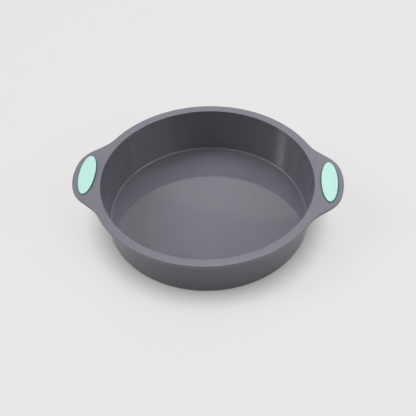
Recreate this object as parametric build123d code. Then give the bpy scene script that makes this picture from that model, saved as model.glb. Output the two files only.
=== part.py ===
from build123d import *
import math
import os

# Round silicone cake pan, nine inches across inside its rim. The pan is one moulding: floor,
# sloping wall, flat rim and two ears. A steel ring and two steel loops lie in the rim and the ears
# to keep them flat, and each ear holds a softer oval pad to grip.
# Millimetres. X runs along the ears, Z is up, and the origin is at the centre of the base.

# Bowl: its wall leans out from the floor to the rim
rim_inner_radius = 114.3
wall_lean = 5.2
pan_height = 54.7
floor_thickness = 2.3
wall_foot_thickness = 1.0
wall_top_thickness = 2.6
floor_round = 1.6
base_round = 2.4

# Rim: a flat band round the mouth, thick enough to hold the wire
rim_width = 9.7
rim_height = 4.3
rim_foot_round = 0.6
mouth_round = 0.7

# Ears: in plan, a shallow tip arc, two straight flanks and a hollow curve back into the rim.
# They are one flat sheet with the top of the rim, and thinner than the rim itself.
ear_length = 21.0
ear_tip_radius = 80.0
ear_corner_half_width = 32.6
ear_flare = 21.0
ear_corner_round = 37.0
ear_root_round = 47.0
ear_height = 3.2
edge_chamfer = 0.4
crest_chamfer = 0.15

# Grip pads: oval plugs that fill a hole in each ear and show on both faces
pad_half_width = 8.84
pad_end_margin = 2.4
pad_edge_margin = 6.3
pad_proud_above = 1.7
pad_proud_below = 0.3
pad_crown_radius = 900.0
pad_edge_chamfer = 0.5
seat_gap = 0.55

# The tongue is a rib half-way up the hole, and the slot is the groove round the pad that grips it
tongue_height = 1.2
slot_depth = 1.8
slot_clearance = 0.15

# Flat steel wire moulded into the rim and the ears
wire_width = 2.4
wire_thickness = 1.6
ring_edge_margin = 5.0
loop_edge_margin = 3.1
wire_clearance = 0.1
weld_gap = 0.05

# Each round of the turned section is this many flats, which keeps the moulding light
flats_per_round = 2

# Reach of a cut beyond what it cuts
overrun = 5.0

floor_radius = rim_inner_radius - wall_lean
rim_outer_radius = rim_inner_radius + rim_width
ear_reach = rim_outer_radius + ear_length
ear_root_half_width = ear_corner_half_width + ear_flare
rim_underside = pan_height - rim_height
ear_underside = pan_height - ear_height
ear_middle = pan_height - ear_height / 2
base_radius = floor_radius + wall_foot_thickness
wall_top_radius = rim_inner_radius + wall_top_thickness
seam_radius = (rim_inner_radius + rim_outer_radius) / 2
ring_radius = rim_outer_radius - ring_edge_margin
pad_half_length = ear_corner_half_width - pad_end_margin
pad_centre_radius = ear_reach - pad_edge_margin - pad_half_width
ear_sides = {"left": 180, "right": 0}


def at_height(shape, height):
    """Shape lifted from the plan plane to a height."""
    return Pos(0, 0, height) * shape


def bowl():
    """Floor, wall and rim, turned from one section up to where the sheet of the ears lies on.

    Each corner of the section carries the radius of its round, or 0 to stay sharp.
    """
    corners = {
        (0, 0): 0,
        (base_radius, 0): base_round,
        (wall_top_radius, rim_underside): 0,
        (rim_outer_radius, rim_underside): rim_foot_round,
        (rim_outer_radius, ear_middle): 0,
        (seam_radius, ear_middle): 0,
        (seam_radius, pan_height): 0,
        (rim_inner_radius, pan_height): mouth_round,
        (floor_radius, floor_thickness): floor_round,
        (0, floor_thickness): 0,
    }
    section = make_face(Polyline(*corners, close=True))
    for corner, radius in corners.items():
        if radius:
            vertex = section.vertices().sort_by_distance((*corner, 0))[0]
            section = fillet(vertex, radius)
    return revolve(Plane.XZ * in_flats(section), Axis.Z)


def in_flats(section):
    """The same section with each of its rounds as short flats whose ends lie on the round."""
    points = []
    for edge in section.wire().order_edges():
        flats = flats_per_round if edge.geom_type == GeomType.CIRCLE else 1
        points += [edge @ (flat / flats) for flat in range(flats)]
    return make_face(Polyline(*points, close=True))


def ear_blank(behind=0):
    """One ear in plan: the tip arc, its rounded corners and the flanks, closed straight behind.

    The flanks start on the rim circle, or as far behind it as asked.
    """
    corner_x = ear_reach - ear_tip_radius
    corner_x += math.sqrt(ear_tip_radius**2 - ear_corner_half_width**2)
    corner = Vector(corner_x, ear_corner_half_width)
    root = Vector(*ear_root())
    start = root + (root - corner).normalized() * behind
    mirrored_corner = Vector(corner.X, -corner.Y)
    mirrored_start = Vector(start.X, -start.Y)
    outline = [
        Line(start, corner),
        ThreePointArc(corner, (ear_reach, 0), mirrored_corner),
        Line(mirrored_corner, mirrored_start),
        Line(mirrored_start, start),
    ]
    blank = make_face(outline)
    corners = blank.vertices().sort_by(Axis.X)[-2:]
    return fillet(corners, ear_corner_round)


def ear_root():
    """Where a flank of the right ear meets the rim circle."""
    return math.sqrt(rim_outer_radius**2 - ear_root_half_width**2), ear_root_half_width


def rim_plan():
    """Rim and ears seen from above, with the hollow curves where they meet."""
    ear = ear_blank()
    plan = Circle(rim_outer_radius) + ear + Rot(0, 0, 180) * ear
    root_x, root_y = ear_root()
    for end in (root_x, -root_x):
        for flank in (root_y, -root_y):
            vertex = plan.vertices().sort_by_distance((end, flank, 0))[0]
            plan = fillet(vertex, ear_root_round)
    return plan


def ear_sheet():
    """The top of the rim with both ears, its outer edge broken below and broken twice on top."""
    sheet = at_height(extrude(rim_plan(), ear_height), ear_underside)
    top_edges = sheet.faces().sort_by(Axis.Z)[-1].edges()
    bottom_edges = sheet.faces().sort_by(Axis.Z)[0].edges()
    sheet = chamfer(top_edges + bottom_edges, edge_chamfer)
    sheet = chamfer(sheet.faces().sort_by(Axis.Z)[-1].edges(), crest_chamfer)
    return sheet - at_height(Cylinder(seam_radius, ear_height + overrun), ear_middle)


def oval(inset, height, middle):
    """Upright oval block: the pad's plan drawn in by an inset, centred on the right pad's place."""
    plan = Ellipse(pad_half_width - inset, pad_half_length - inset)
    block = extrude(plan, height / 2, both=True)
    return Pos(pad_centre_radius, 0, middle) * block


def pad_hole():
    """What the ear leaves open for the pad: an oval hole with a tongue half-way up."""
    through = oval(-seat_gap, ear_height + overrun, ear_middle)
    tongue_mouth = oval(slot_depth - slot_clearance, ear_height + overrun, ear_middle)
    tongue = oval(-seat_gap, tongue_height, ear_middle) - tongue_mouth
    return through - tongue


def ring(clearance=0):
    """The flat wire that runs round the whole rim, or with a clearance the channel for it."""
    half_width = wire_width / 2 + clearance
    height = wire_thickness + clearance * 2
    hoop = Cylinder(ring_radius + half_width, height) - Cylinder(ring_radius - half_width, height)
    return at_height(hoop, ear_middle)


def ear_loop(clearance=0):
    """The flat wire that follows the right ear's edge to the ring, or the channel for it."""
    blank = ear_blank(behind=ear_reach - rim_inner_radius)
    inset = loop_edge_margin - wire_width / 2 - clearance
    outer = offset(blank, amount=-inset, kind=Kind.INTERSECTION)
    inner = offset(outer, amount=-(wire_width + clearance * 2), kind=Kind.INTERSECTION)
    loop = extrude(outer - inner, (wire_thickness + clearance * 2) / 2, both=True)
    return at_height(loop - Cylinder(ring_radius, wire_thickness + overrun), ear_middle)


def pan_body():
    """The silicone moulding, with a closed channel round each wire and a hole in each ear."""
    body = bowl() + ear_sheet() - ring(wire_clearance)
    for turn in ear_sides.values():
        body -= Rot(0, 0, turn) * (pad_hole() + ear_loop(wire_clearance))
    return body


def grip_pad():
    """Right pad: an oval plug with a crowned top, broken edges and a slot round its middle."""
    top = pan_height + pad_proud_above
    bottom = ear_underside - pad_proud_below
    plug = oval(0, top - bottom, (top + bottom) / 2)
    crown = Rot(0, 90, 0) * Cylinder(pad_crown_radius, pad_half_width * 2)
    plug = plug & Pos(pad_centre_radius, 0, top - pad_crown_radius) * crown
    faces = plug.faces().sort_by(Axis.Z)
    plug = chamfer(faces[-1].edges() + faces[0].edges(), pad_edge_chamfer)
    slot_height = tongue_height + slot_clearance * 2
    slot = oval(-overrun, slot_height, ear_middle) - oval(slot_depth, slot_height, ear_middle)
    return plug - slot


def steel_loop():
    """Right loop of wire, its ends shaped to sit on the ring where they are welded."""
    return ear_loop() - ring(weld_gap)


os.makedirs("parts", exist_ok=True)
nodes = {"pan_body": pan_body(), "rim_wire_ring": ring()}
for side, turn in ear_sides.items():
    nodes[f"grip_pad_{side}"] = Rot(0, 0, turn) * grip_pad()
    nodes[f"ear_wire_{side}"] = Rot(0, 0, turn) * steel_loop()
for name, shape in nodes.items():
    shape.label = name
    export_step(shape, f"parts/{name}.step")
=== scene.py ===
"""Round silicone cake pan on a plain pale floor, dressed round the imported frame.

The frame gives every shape in metres: X runs along the two ears, Z is up and the origin is at the
centre of the base. This script gives the shapes their moulded skins, and adds the floor, the soft
studio light and the camera.
"""

from __future__ import annotations

import logging
import math
from dataclasses import dataclass, field
from enum import Enum
from typing import Any

import bpy
from mathutils import Matrix, Vector


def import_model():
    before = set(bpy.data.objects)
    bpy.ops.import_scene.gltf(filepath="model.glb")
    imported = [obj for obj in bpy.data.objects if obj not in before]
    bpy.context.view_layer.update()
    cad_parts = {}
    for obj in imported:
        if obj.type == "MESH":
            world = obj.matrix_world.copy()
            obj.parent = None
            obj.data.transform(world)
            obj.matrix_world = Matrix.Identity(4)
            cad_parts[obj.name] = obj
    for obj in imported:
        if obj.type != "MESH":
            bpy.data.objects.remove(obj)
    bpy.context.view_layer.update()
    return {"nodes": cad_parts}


LOG = logging.getLogger("cake_pan")

MILLIMETRE = 0.001

# A Mix node has sockets for each type of data, and these are the places of the ones for colours.
MIX_FACTOR = 0
MIX_FIRST = 6
MIX_SECOND = 7
MIX_RESULT = 2

# Most of a noise pattern's values lie between these two.
NOISE_LOW = 0.3
NOISE_HIGH = 0.7

# Levels of finer noise in the grain of a blasted mould.
GRAIN_DETAIL = 2.0

# Corners of a CAD node's faces that lie this near are one corner.
JOIN_MM = 0.01


class Side(Enum):
    """The two ears, seen from the front."""

    LEFT = "left"
    RIGHT = "right"


def linear_colour(hex_code: str) -> tuple[float, float, float, float]:
    """Turn an sRGB hex colour into the linear colour that shaders take.

    Args:
        hex_code: The colour as "#RRGGBB".

    Returns:
        Linear red, green and blue, and an alpha of 1.
    """
    channels = [int(hex_code[place : place + 2], 16) / 255 for place in (1, 3, 5)]
    # The sRGB curve is a straight line near black and a power curve above it.
    linear = [
        channel / 12.92 if channel <= 0.04045 else ((channel + 0.055) / 1.055) ** 2.4
        for channel in channels
    ]
    return linear[0], linear[1], linear[2], 1.0


def add_node(
    tree: bpy.types.NodeTree,
    kind: str,
    settings: dict[str | int, Any] | None = None,
    links: dict[str | int, bpy.types.NodeSocket] | None = None,
) -> bpy.types.Node:
    """Add one node with its settings and its incoming links.

    Args:
        tree: The node tree that gets it.
        kind: Blender's name of the node type, without the leading "ShaderNode".
        settings: Values for its sockets, by name or place, or else for its own options.
        links: The output sockets that feed its inputs, by name or place.

    Returns:
        The new node.
    """
    node = tree.nodes.new(f"ShaderNode{kind}")
    for key, value in (settings or {}).items():
        if isinstance(key, int) or key in node.inputs:
            node.inputs[key].default_value = value
        else:
            setattr(node, key, value)
    for key, output in (links or {}).items():
        tree.links.new(output, node.inputs[key])
    return node


def new_material(name: str) -> tuple[bpy.types.Material, bpy.types.NodeTree, bpy.types.Node]:
    """Start a material with a bare Principled shader.

    Args:
        name: What the material is, and how its surface was made.

    Returns:
        The material, its node tree and its Principled shader.
    """
    material = bpy.data.materials.new(name)
    material.use_nodes = True
    tree = material.node_tree
    tree.nodes.clear()
    shader = add_node(tree, "BsdfPrincipled")
    add_node(tree, "OutputMaterial", links={"Surface": shader.outputs["BSDF"]})
    return material, tree, shader


def seen_directly(tree: bpy.types.NodeTree, share: float) -> bpy.types.NodeSocket:
    """Tell the rays that show a surface to the camera, plain, mirrored or through glass.

    Args:
        tree: The node tree of a material or of the world.
        share: What those rays get.

    Returns:
        The share for those rays and 0 for the rays that only carry light.
    """
    rays = add_node(tree, "LightPath").outputs
    seen = rays["Is Camera Ray"]
    for other in ("Is Glossy Ray", "Is Transmission Ray"):
        either = add_node(tree, "Math", {"operation": "MAXIMUM"}, {0: seen, 1: rays[other]})
        seen = either.outputs["Value"]
    got = add_node(tree, "Math", {"operation": "MULTIPLY", 1: share}, {0: seen})
    return got.outputs["Value"]


def distance_from_axis(
    tree: bpy.types.NodeTree, place: bpy.types.NodeSocket
) -> bpy.types.NodeSocket:
    """Measure how far a point lies from the upright axis of the pan.

    Args:
        tree: The material's node tree.
        place: The point in metres.

    Returns:
        The distance in metres.
    """
    flat = add_node(tree, "VectorMath", {"operation": "MULTIPLY", 1: (1, 1, 0)}, {0: place})
    length = add_node(tree, "VectorMath", {"operation": "LENGTH"}, {0: flat.outputs["Vector"]})
    return length.outputs["Value"]


def edge_mask(
    tree: bpy.types.NodeTree,
    measure: bpy.types.NodeSocket,
    edge_mm: float,
    blend_mm: float,
    beyond: bool = True,
) -> bpy.types.NodeSocket:
    """Mask what lies on one side of an edge.

    Args:
        tree: The material's node tree.
        measure: A distance in metres.
        edge_mm: The distance at which the edge lies.
        blend_mm: How far the mask takes to change over.
        beyond: Whether the mask covers the side beyond the edge, or else the side before it.

    Returns:
        1 on the side that the mask covers and 0 on the other.
    """
    mask = add_node(
        tree,
        "MapRange",
        {
            "interpolation_type": "SMOOTHSTEP",
            "From Min": (edge_mm - blend_mm / 2) * MILLIMETRE,
            "From Max": (edge_mm + blend_mm / 2) * MILLIMETRE,
            "To Min": 0.0 if beyond else 1.0,
            "To Max": 1.0 if beyond else 0.0,
        },
        {"Value": measure},
    )
    return mask.outputs["Result"]


def add_grain(
    tree: bpy.types.NodeTree,
    shader: bpy.types.Node,
    place: bpy.types.NodeSocket,
    grain_mm: float,
    height_mm: float,
    share: bpy.types.NodeSocket | None = None,
) -> None:
    """Give a skin the fine grain of a blasted mould.

    Args:
        tree: The material's node tree.
        shader: Its Principled shader.
        place: The point in metres.
        grain_mm: How wide a grain is.
        height_mm: How high it stands.
        share: How much of that height each point gets, from 0 to 1, or all of it if left out.
    """
    grain = add_node(
        tree,
        "TexNoise",
        {"Scale": 1 / (grain_mm * MILLIMETRE), "Detail": GRAIN_DETAIL},
        {"Vector": place},
    )
    links = {"Height": grain.outputs["Fac"]}
    if share is not None:
        links["Strength"] = share
    bump = add_node(tree, "Bump", {"Distance": height_mm * MILLIMETRE}, links)
    tree.links.new(bump.outputs["Normal"], shader.inputs["Normal"])


@dataclass(frozen=True)
class MouldedGreySilicone:
    """Grey silicone rubber, compression moulded between a polished core and a blasted shell.

    The core leaves the inside of the bowl smooth enough to mirror the wall softly in the floor.
    The shell leaves the outside satin. The rim and the ears are painted a little paler, painted
    light on the top, and the wall a little darker, painted shade on the side.
    """

    inside_colour: str = "#71717A"
    # The wall is painted darker and the rim paler than the rubber is: painted shade and painted
    # light.
    shaded_wall_colour: str = "#68676E"
    lit_rim_colour: str = "#777680"
    ior: float = 1.41
    # A clean skin has 0.5; a thin bloom on the moulding dulls it a little.
    specular_level: float = 0.44
    inside_roughness: float = 0.06
    outside_roughness: float = 0.22
    # Faint clouds in the rubber change its shade by this share and its roughness by this much.
    cloud_share: float = 0.05
    roughness_spread: float = 0.02
    cloud_mm: float = 38.0
    cloud_detail: float = 3.0
    cloud_roughness: float = 0.55
    # The skins meet half-way through the floor, and on a cone half-way through the wall that
    # runs from the base up to the mouth. The rim and the ears start at the rim's underside.
    floor_middle_mm: float = 1.15
    base_radius_mm: float = 109.6
    mouth_radius_mm: float = 114.3
    mouth_height_mm: float = 54.7
    rim_underside_mm: float = 50.4
    blend_mm: float = 0.3
    # The blasted grain is about 0.1 mm on the real mould; it is drawn coarser so that it shows.
    grain_mm: float = 0.45
    grain_height_mm: float = 0.012
    # The round corner between the floor and the wall is painted paler: a painted highlight for the
    # gloss line along it.
    corner_highlight_colour: str = "#7B7B84"
    corner_radius_mm: float = 109.1
    corner_height_mm: float = 2.3
    corner_reach_mm: float = 1.5
    corner_blend_mm: float = 1.0

    def build(self) -> bpy.types.Material:
        """Make the material.

        Returns:
            The material for both skins of the moulding.
        """
        material, tree, shader = new_material("moulded_grey_silicone")
        shader.inputs["IOR"].default_value = self.ior
        shader.inputs["Specular IOR Level"].default_value = self.specular_level
        place = add_node(tree, "TexCoord").outputs["Object"]
        height = add_node(tree, "SeparateXYZ", links={"Vector": place}).outputs["Z"]
        radius = distance_from_axis(tree, place)
        outside = self.outside_mask(tree, radius, height)
        clouds = add_node(
            tree,
            "TexNoise",
            {
                "Scale": 1 / (self.cloud_mm * MILLIMETRE),
                "Detail": self.cloud_detail,
                "Roughness": self.cloud_roughness,
            },
            {"Vector": place},
        ).outputs["Fac"]
        colour = self.mix_colour(tree, radius, height, outside, clouds)
        tree.links.new(colour, shader.inputs["Base Color"])
        roughness = self.mix_roughness(tree, outside, clouds)
        tree.links.new(roughness, shader.inputs["Roughness"])
        add_grain(tree, shader, place, self.grain_mm, self.grain_height_mm, outside)
        return material

    def mix_colour(
        self,
        tree: bpy.types.NodeTree,
        radius: bpy.types.NodeSocket,
        height: bpy.types.NodeSocket,
        outside: bpy.types.NodeSocket,
        clouds: bpy.types.NodeSocket,
    ) -> bpy.types.NodeSocket:
        """Colour the wall, the rim, the inside and its corner, and cloud them faintly.

        Args:
            tree: The material's node tree.
            radius: The point's distance from the pan's axis, in metres.
            height: Its height over the base, in metres.
            outside: 1 on the satin skin and 0 on the polished one.
            clouds: The noise pattern of the clouds.

        Returns:
            The colour of the point.
        """
        # The wall's darker colour is painted shade and the rim's paler one painted light.
        shell = add_node(
            tree,
            "Mix",
            {
                "data_type": "RGBA",
                MIX_FIRST: linear_colour(self.shaded_wall_colour),
                MIX_SECOND: linear_colour(self.lit_rim_colour),
            },
            {MIX_FACTOR: edge_mask(tree, height, self.rim_underside_mm, self.blend_mm)},
        ).outputs[MIX_RESULT]
        # The corner's paler colour is a painted highlight.
        core = add_node(
            tree,
            "Mix",
            {
                "data_type": "RGBA",
                MIX_FIRST: linear_colour(self.inside_colour),
                MIX_SECOND: linear_colour(self.corner_highlight_colour),
            },
            {MIX_FACTOR: self.corner_highlight_mask(tree, radius, height)},
        ).outputs[MIX_RESULT]
        skin = add_node(
            tree,
            "Mix",
            {"data_type": "RGBA"},
            {MIX_FACTOR: outside, MIX_FIRST: core, MIX_SECOND: shell},
        ).outputs[MIX_RESULT]
        shade = add_node(
            tree,
            "MapRange",
            {"To Min": 1 - self.cloud_share, "To Max": 1 + self.cloud_share},
            {"Value": clouds},
        ).outputs["Result"]
        clouded = add_node(
            tree, "VectorMath", {"operation": "SCALE"}, {0: skin, "Scale": shade}
        )
        return clouded.outputs["Vector"]

    def mix_roughness(
        self,
        tree: bpy.types.NodeTree,
        outside: bpy.types.NodeSocket,
        clouds: bpy.types.NodeSocket,
    ) -> bpy.types.NodeSocket:
        """Set the gloss of the two skins, and vary it a little with the clouds.

        Args:
            tree: The material's node tree.
            outside: 1 on the satin skin and 0 on the polished one.
            clouds: The noise pattern of the clouds.

        Returns:
            The roughness of the point.
        """
        base = add_node(
            tree,
            "MapRange",
            {"To Min": self.inside_roughness, "To Max": self.outside_roughness},
            {"Value": outside},
        ).outputs["Result"]
        smudge = add_node(
            tree,
            "MapRange",
            {
                "From Min": NOISE_LOW,
                "From Max": NOISE_HIGH,
                "To Min": -self.roughness_spread,
                "To Max": self.roughness_spread,
            },
            {"Value": clouds},
        ).outputs["Result"]
        return add_node(tree, "Math", {"operation": "ADD"}, {0: base, 1: smudge}).outputs["Value"]

    def outside_mask(
        self,
        tree: bpy.types.NodeTree,
        radius: bpy.types.NodeSocket,
        height: bpy.types.NodeSocket,
    ) -> bpy.types.NodeSocket:
        """Tell the satin outside from the polished inside.

        Args:
            tree: The material's node tree.
            radius: The point's distance from the pan's axis, in metres.
            height: Its height over the base, in metres.

        Returns:
            1 outside the cone through the middle of the wall and under the floor, 0 inside.
        """
        lean = (self.mouth_radius_mm - self.base_radius_mm) / self.mouth_height_mm
        upright = add_node(
            tree, "Math", {"operation": "MULTIPLY_ADD", 1: -lean}, {0: height, 2: radius}
        ).outputs["Value"]
        around = edge_mask(tree, upright, self.base_radius_mm, self.blend_mm)
        below = edge_mask(tree, height, self.floor_middle_mm, self.blend_mm, beyond=False)
        mask = add_node(tree, "Math", {"operation": "MAXIMUM"}, {0: around, 1: below})
        return mask.outputs["Value"]

    def corner_highlight_mask(
        self,
        tree: bpy.types.NodeTree,
        radius: bpy.types.NodeSocket,
        height: bpy.types.NodeSocket,
    ) -> bpy.types.NodeSocket:
        """Find the round corner between the floor and the wall.

        Args:
            tree: The material's node tree.
            radius: The point's distance from the pan's axis, in metres.
            height: Its height over the base, in metres.

        Returns:
            1 in the corner, falling to 0 where its reach ends.
        """
        # This mask places the painted highlight along the corner.
        section = add_node(tree, "CombineXYZ", links={"X": radius, "Y": height}).outputs["Vector"]
        corner = (self.corner_radius_mm * MILLIMETRE, self.corner_height_mm * MILLIMETRE, 0)
        away = add_node(tree, "VectorMath", {"operation": "DISTANCE", 1: corner}, {0: section})
        return edge_mask(
            tree,
            away.outputs["Value"],
            self.corner_reach_mm,
            self.corner_blend_mm,
            beyond=False,
        )


@dataclass(frozen=True)
class MouldedMintSilicone:
    """Pale mint silicone rubber of a softer grade, moulded satin so that fingers don't slip.

    It scatters light a little under its surface, which keeps its shaded side clear and green.
    Its side is painted a deeper green where it goes down into the ear: painted shade, as no light
    gets in there.
    """

    colour: str = "#BBEAE1"
    # Faint clouds in the rubber run from that shade to this one.
    cloud_colour: str = "#BFEDE4"
    cloud_mm: float = 14.0
    cloud_detail: float = 2.0
    # The painted shade, a deeper green, starts on the broken edge of the crowned top
    # and ends at the underside.
    seam_shade_colour: str = "#4AA58C"
    top_height_mm: float = 56.4
    underside_mm: float = 51.5
    crown_radius_mm: float = 900.0
    seam_drop_mm: float = 0.15
    blend_mm: float = 0.2
    ior: float = 1.41
    roughness: float = 0.3
    scatter_share: float = 0.15
    scatter_mm: float = 1.2
    # The blasted grain is drawn coarser than the real one so that it shows.
    grain_mm: float = 0.4
    grain_height_mm: float = 0.012

    def build(self) -> bpy.types.Material:
        """Make the material.

        Returns:
            The material for the whole pad.
        """
        material, tree, shader = new_material("moulded_mint_silicone")
        shader.inputs["IOR"].default_value = self.ior
        shader.inputs["Roughness"].default_value = self.roughness
        shader.inputs["Subsurface Weight"].default_value = self.scatter_share
        shader.inputs["Subsurface Scale"].default_value = self.scatter_mm * MILLIMETRE
        place = add_node(tree, "TexCoord").outputs["Object"]
        clouds = add_node(
            tree,
            "TexNoise",
            {"Scale": 1 / (self.cloud_mm * MILLIMETRE), "Detail": self.cloud_detail},
            {"Vector": place},
        ).outputs["Fac"]
        clouded = add_node(
            tree,
            "Mix",
            {
                "data_type": "RGBA",
                MIX_FIRST: linear_colour(self.colour),
                MIX_SECOND: linear_colour(self.cloud_colour),
            },
            {MIX_FACTOR: clouds},
        ).outputs[MIX_RESULT]
        skin = add_node(
            tree,
            "Mix",
            {"data_type": "RGBA", MIX_SECOND: linear_colour(self.seam_shade_colour)},
            {MIX_FACTOR: self.seam_shade_mask(tree, place), MIX_FIRST: clouded},
        ).outputs[MIX_RESULT]
        tree.links.new(skin, shader.inputs["Base Color"])
        add_grain(tree, shader, place, self.grain_mm, self.grain_height_mm)
        return material

    def seam_shade_mask(
        self, tree: bpy.types.NodeTree, place: bpy.types.NodeSocket
    ) -> bpy.types.NodeSocket:
        """Find the side of the pad, between its crowned top and its underside.

        Args:
            tree: The material's node tree.
            place: The point in metres.

        Returns:
            1 on the side, 0 on the top and the underside.
        """
        # This mask places the painted shade on the pad's side.
        axes = add_node(tree, "SeparateXYZ", links={"Vector": place}).outputs
        # The crown falls away from its middle by the square of the distance along the pad.
        fall = 1 / (2 * self.crown_radius_mm * MILLIMETRE)
        square = add_node(tree, "Math", {"operation": "MULTIPLY"}, {0: axes["Y"], 1: axes["Y"]})
        level = add_node(
            tree,
            "Math",
            {"operation": "MULTIPLY_ADD", 1: fall},
            {0: square.outputs["Value"], 2: axes["Z"]},
        ).outputs["Value"]
        edge = self.top_height_mm - self.seam_drop_mm
        under_top = edge_mask(tree, level, edge, self.blend_mm, beyond=False)
        over_bottom = edge_mask(tree, axes["Z"], self.underside_mm, self.blend_mm)
        mask = add_node(tree, "Math", {"operation": "MULTIPLY"}, {0: under_top, 1: over_bottom})
        return mask.outputs["Value"]


@dataclass(frozen=True)
class DrawnSteel:
    """Stainless steel wire rolled flat, with fine streaks along its length from the die.

    It lies hidden in the silicone, so its look only matters where a cut shows it.
    """

    colour: str = "#C9CACC"
    streak_colour: str = "#B7B8BB"
    roughness: float = 0.3
    streak_mm: float = 0.3
    streak_detail: float = 3.0
    streak_height_mm: float = 0.01

    def build(self) -> bpy.types.Material:
        """Make the material.

        Returns:
            The material, with streaks that run round the pan's axis.
        """
        material, tree, shader = new_material("drawn_stainless_steel")
        shader.inputs["Metallic"].default_value = 1.0
        shader.inputs["Roughness"].default_value = self.roughness
        place = add_node(tree, "TexCoord").outputs["Object"]
        streaks = add_node(
            tree,
            "TexNoise",
            {
                "noise_dimensions": "1D",
                "Scale": 1 / (self.streak_mm * MILLIMETRE),
                "Detail": self.streak_detail,
            },
            {"W": distance_from_axis(tree, place)},
        ).outputs["Fac"]
        colour = add_node(
            tree,
            "Mix",
            {
                "data_type": "RGBA",
                MIX_FIRST: linear_colour(self.colour),
                MIX_SECOND: linear_colour(self.streak_colour),
            },
            {MIX_FACTOR: streaks},
        ).outputs[MIX_RESULT]
        tree.links.new(colour, shader.inputs["Base Color"])
        bump = add_node(
            tree, "Bump", {"Distance": self.streak_height_mm * MILLIMETRE}, {"Height": streaks}
        )
        tree.links.new(bump.outputs["Normal"], shader.inputs["Normal"])
        return material


@dataclass(frozen=True)
class MattStudioPaper:
    """Pale uncoated paper from a roll, which has no gloss and carries only a soft shadow.

    The camera mostly sees its plain colour, which keeps the shadow faint. Close to the pan, where
    little of the space over it is open, that colour darkens too, a painted contact shadow over the
    faint real one, and the pan stands firmly on it.
    """

    colour: str = "#E8E8E8"
    roughness: float = 1.0
    specular_level: float = 0.0
    shadow_lift: float = 0.8
    contact_mm: float = 30.0
    contact_samples: int = 16
    # The open share of the space at which the painted contact shadow is darkest and at which the
    # plain colour is full.
    closed_share: float = 0.3
    open_share: float = 0.95
    darkest: float = 0.25

    def build(self) -> bpy.types.Material:
        """Make the material.

        Returns:
            The material for the floor.
        """
        material, tree, shader = new_material("matt_studio_paper")
        shader.inputs["Base Color"].default_value = linear_colour(self.colour)
        shader.inputs["Roughness"].default_value = self.roughness
        shader.inputs["Specular IOR Level"].default_value = self.specular_level
        # The plain colour dims where little space is open: a painted contact shadow.
        near = add_node(
            tree,
            "AmbientOcclusion",
            {"samples": self.contact_samples, "Distance": self.contact_mm * MILLIMETRE},
        )
        contact = add_node(
            tree,
            "MapRange",
            {"From Min": self.closed_share, "From Max": self.open_share, "To Min": self.darkest},
            {"Value": near.outputs["AO"]},
        )
        plain = add_node(
            tree,
            "Emission",
            {"Color": linear_colour(self.colour)},
            {"Strength": contact.outputs["Result"]},
        )
        either = add_node(
            tree,
            "MixShader",
            links={
                0: seen_directly(tree, self.shadow_lift),
                1: shader.outputs["BSDF"],
                2: plain.outputs["Emission"],
            },
        )
        output = tree.nodes["Material Output"]
        tree.links.new(either.outputs["Shader"], output.inputs["Surface"])
        return material


def cover(node: bpy.types.Object, material: bpy.types.Material) -> None:
    """Cover a CAD node with one material.

    Args:
        node: The CAD node's object.
        material: The finish that all its faces get.
    """
    for slot in node.material_slots:
        slot.material = material
    LOG.info("covered %s", node.name)


def smooth(node: bpy.types.Object) -> None:
    """Shade a CAD node as one moulded skin, smooth across the borders of its faces.

    Args:
        node: The CAD node's object.
    """
    weld = node.modifiers.new("join_faces", "WELD")
    weld.merge_threshold = JOIN_MM * MILLIMETRE
    skin = node.modifiers.new("moulded_skin", "NODES")
    skin.node_group = smooth_group()
    weighted = node.modifiers.new("even_light", "WEIGHTED_NORMAL")
    weighted.mode = "FACE_AREA_WITH_ANGLE"


def smooth_group() -> bpy.types.NodeTree:
    """Make the node group that shades every edge and face smooth, or find it.

    Returns:
        The node group.
    """
    name = "shade_smooth"
    if name in bpy.data.node_groups:
        return bpy.data.node_groups[name]
    group = bpy.data.node_groups.new(name, "GeometryNodeTree")
    for direction in ("INPUT", "OUTPUT"):
        group.interface.new_socket("Geometry", in_out=direction, socket_type="NodeSocketGeometry")
    chain = [group.nodes.new("NodeGroupInput")]
    for domain in ("EDGE", "FACE"):
        shade = group.nodes.new("GeometryNodeSetShadeSmooth")
        shade.domain = domain
        chain.append(shade)
    chain.append(group.nodes.new("NodeGroupOutput"))
    for earlier, later in zip(chain, chain[1:]):
        group.links.new(earlier.outputs[0], later.inputs[0])
    return group


@dataclass
class Pan:
    """The one-piece silicone moulding: floor, wall, rim and ears."""

    node: str = "pan_body"
    finish: MouldedGreySilicone = field(default_factory=MouldedGreySilicone)

    def dress(self, nodes: dict[str, bpy.types.Object]) -> None:
        """Give the moulding its grey silicone."""
        cover(nodes[self.node], self.finish.build())
        smooth(nodes[self.node])


@dataclass
class GripPads:
    """The two soft oval pads that fill the ears' holes."""

    node_stem: str = "grip_pad"
    finish: MouldedMintSilicone = field(default_factory=MouldedMintSilicone)

    def dress(self, nodes: dict[str, bpy.types.Object]) -> None:
        """Give both pads their mint silicone.

        Args:
            nodes: The frame's objects by the names of their nodes.
        """
        material = self.finish.build()
        for side in Side:
            pad = nodes[f"{self.node_stem}_{side.value}"]
            cover(pad, material)
            smooth(pad)


@dataclass
class SteelFrame:
    """The hidden ring and loops of flat steel wire that keep the rim and the ears level."""

    ring: str = "rim_wire_ring"
    loop_stem: str = "ear_wire"
    finish: DrawnSteel = field(default_factory=DrawnSteel)

    def dress(self, nodes: dict[str, bpy.types.Object]) -> None:
        """Give the ring and the loops their drawn steel.

        Args:
            nodes: The frame's objects by the names of their nodes.
        """
        material = self.finish.build()
        cover(nodes[self.ring], material)
        for side in Side:
            cover(nodes[f"{self.loop_stem}_{side.value}"], material)


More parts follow.
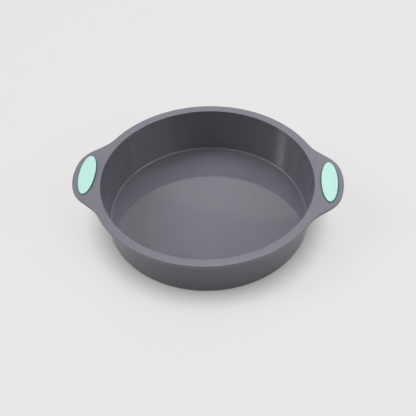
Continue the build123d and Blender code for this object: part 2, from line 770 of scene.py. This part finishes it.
@dataclass(frozen=True)
class Lamp:
    """A lamp aimed at the middle of the base.

    Attributes:
        name: What it is called in the scene.
        azimuth: Degrees round from straight behind the pan, clockwise seen from above.
        elevation: Degrees above the floor.
        strength: What it adds to a white surface that faces it, where 1 is white.
    """

    name: str
    azimuth: float
    elevation: float
    strength: float

    def hang(self, light: bpy.types.Light, distance: float) -> None:
        """Put the lamp in the scene and aim it.

        Args:
            light: Its light.
            distance: Metres from the middle of the base; a sun lamp shines the same from any.
        """
        holder = bpy.data.objects.new(self.name, light)
        bpy.context.scene.collection.objects.link(holder)
        turn = Matrix.Rotation(-math.radians(self.azimuth), 4, "Z")
        tilt = Matrix.Rotation(-math.radians(90 - self.elevation), 4, "X")
        holder.matrix_world = turn @ tilt @ Matrix.Translation(Vector((0, 0, distance)))
        LOG.info("hung %s", self.name)


@dataclass(frozen=True)
class Softbox(Lamp):
    """A broad soft lamp so far away that it lights the whole floor evenly.

    Attributes:
        width: Degrees that it spans in the sky.
    """

    width: float

    def build(self) -> None:
        """Hang it as a sun lamp."""
        light = bpy.data.lights.new(self.name, "SUN")
        # A white surface looks fully white under pi watts per square metre.
        light.energy = self.strength * math.pi
        light.angle = math.radians(self.width)
        self.hang(light, 0)


@dataclass(frozen=True)
class LightPanel(Lamp):
    """A long flat panel lamp that lights the inner wall across from it in one broad zone.

    Attributes:
        distance: Metres from the middle of the base.
        length: Metres along it, which is level.
        height: Metres across it.
    """

    distance: float
    length: float
    height: float

    def build(self) -> None:
        """Hang it as a rectangular area lamp."""
        light = bpy.data.lights.new(self.name, "AREA")
        light.shape = "RECTANGLE"
        light.size = self.length
        light.size_y = self.height
        # Its power spreads over pi times the square of the distance, where a sun lamp's doesn't.
        light.energy = self.strength * math.pi * math.pi * self.distance**2
        self.hang(light, self.distance)


@dataclass
class Studio:
    """The pale floor, the backdrop that the world stands for, and the lamps."""

    paper: MattStudioPaper = field(default_factory=MattStudioPaper)
    floor_width: float = 12.0
    # A hair's breadth under the base, so that the two faces never lie in one plane.
    floor_drop_mm: float = 0.02
    backdrop_strength: float = 1.0
    # The left lamp fades from its middle outwards, so it is three lamps, one inside the other.
    lamps: tuple[Softbox | LightPanel, ...] = (
        Softbox("high_softbox", 0, 66, 0.30, 30),
        Softbox("back_softbox", 0, 48, 0.09, 65),
        Softbox("low_back_softbox", 0, 28, 0.075, 36),
        Softbox("left_softbox", -90, 44, 0.27, 38),
        Softbox("left_spot", -92, 49, 0.06, 4),
        Softbox("left_lamp", -97, 34, 0.035, 7),
        Softbox("left_lamp_shade", -97.5, 34, 0.06, 12),
        Softbox("left_lamp_hood", -98, 34, 0.065, 18),
        Softbox("right_softbox", 90, 60, 0.17, 35),
        LightPanel("right_panel", 112, 34, 0.28, 3.0, 2.5, 1.0),
    )

    def build(self) -> None:
        """Lay the floor, raise the backdrop and hang the lamps."""
        self.lay_floor()
        self.raise_backdrop()
        for lamp in self.lamps:
            lamp.build()

    def lay_floor(self) -> None:
        """Lay one wide sheet of paper just under the base."""
        half = self.floor_width / 2
        drop = -self.floor_drop_mm * MILLIMETRE
        plan = ((-half, -half), (half, -half), (half, half), (-half, half))
        mesh = bpy.data.meshes.new("floor")
        mesh.from_pydata([(x, y, drop) for x, y in plan], [], [(0, 1, 2, 3)])
        mesh.materials.append(self.paper.build())
        floor = bpy.data.objects.new("floor", mesh)
        bpy.context.scene.collection.objects.link(floor)
        LOG.info("laid the floor")

    def raise_backdrop(self) -> None:
        """Make the world a pale backdrop that cameras and mirrors see, and that lights nothing."""
        world = bpy.data.worlds.new("studio")
        bpy.context.scene.world = world
        world.use_nodes = True
        tree = world.node_tree
        tree.nodes.clear()
        backdrop = add_node(
            tree,
            "Background",
            {"Color": linear_colour(self.paper.colour)},
            {"Strength": seen_directly(tree, self.backdrop_strength)},
        )
        add_node(tree, "OutputWorld", links={"Surface": backdrop.outputs["Background"]})
        LOG.info("raised the backdrop")


@dataclass
class Viewpoint:
    """The camera, where the photograph was taken from.

    Attributes:
        target: The point that it looks at, in metres.
        distance: Metres from there.
        heading: Degrees round to the right from straight in front of the pan.
        elevation: Degrees above the floor.
        roll: Degrees that it leans to its left.
        lens_mm: Focal length.
        sensor_mm: Width of its sensor.
    """

    target: tuple[float, float, float] = (-0.0012, 0.0098, 0.0)
    distance: float = 0.9453
    heading: float = 5.443
    elevation: float = 45.32
    roll: float = -2.074
    lens_mm: float = 72.84
    sensor_mm: float = 36.0

    def build(self) -> None:
        """Place the camera and make it the scene's."""
        optics = bpy.data.cameras.new("camera")
        optics.sensor_fit = "HORIZONTAL"
        optics.sensor_width = self.sensor_mm
        optics.lens = self.lens_mm
        camera = bpy.data.objects.new("camera", optics)
        bpy.context.scene.collection.objects.link(camera)
        turns = (
            Matrix.Rotation(math.radians(self.heading), 4, "Z")
            @ Matrix.Rotation(math.radians(90 - self.elevation), 4, "X")
            @ Matrix.Rotation(math.radians(self.roll), 4, "Z")
        )
        aim = Matrix.Translation(Vector(self.target))
        back = Matrix.Translation(Vector((0, 0, self.distance)))
        camera.matrix_world = aim @ turns @ back
        bpy.context.scene.camera = camera
        LOG.info("placed the camera")


def main() -> None:
    """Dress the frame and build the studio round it."""
    logging.basicConfig(level=logging.INFO, format="%(name)s: %(message)s")
    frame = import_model()
    bpy.context.scene.view_settings.view_transform = "Standard"
    for assembly in (Pan(), GripPads(), SteelFrame()):
        assembly.dress(frame["nodes"])
    Studio().build()
    Viewpoint().build()


if __name__ == "__main__":
    main()
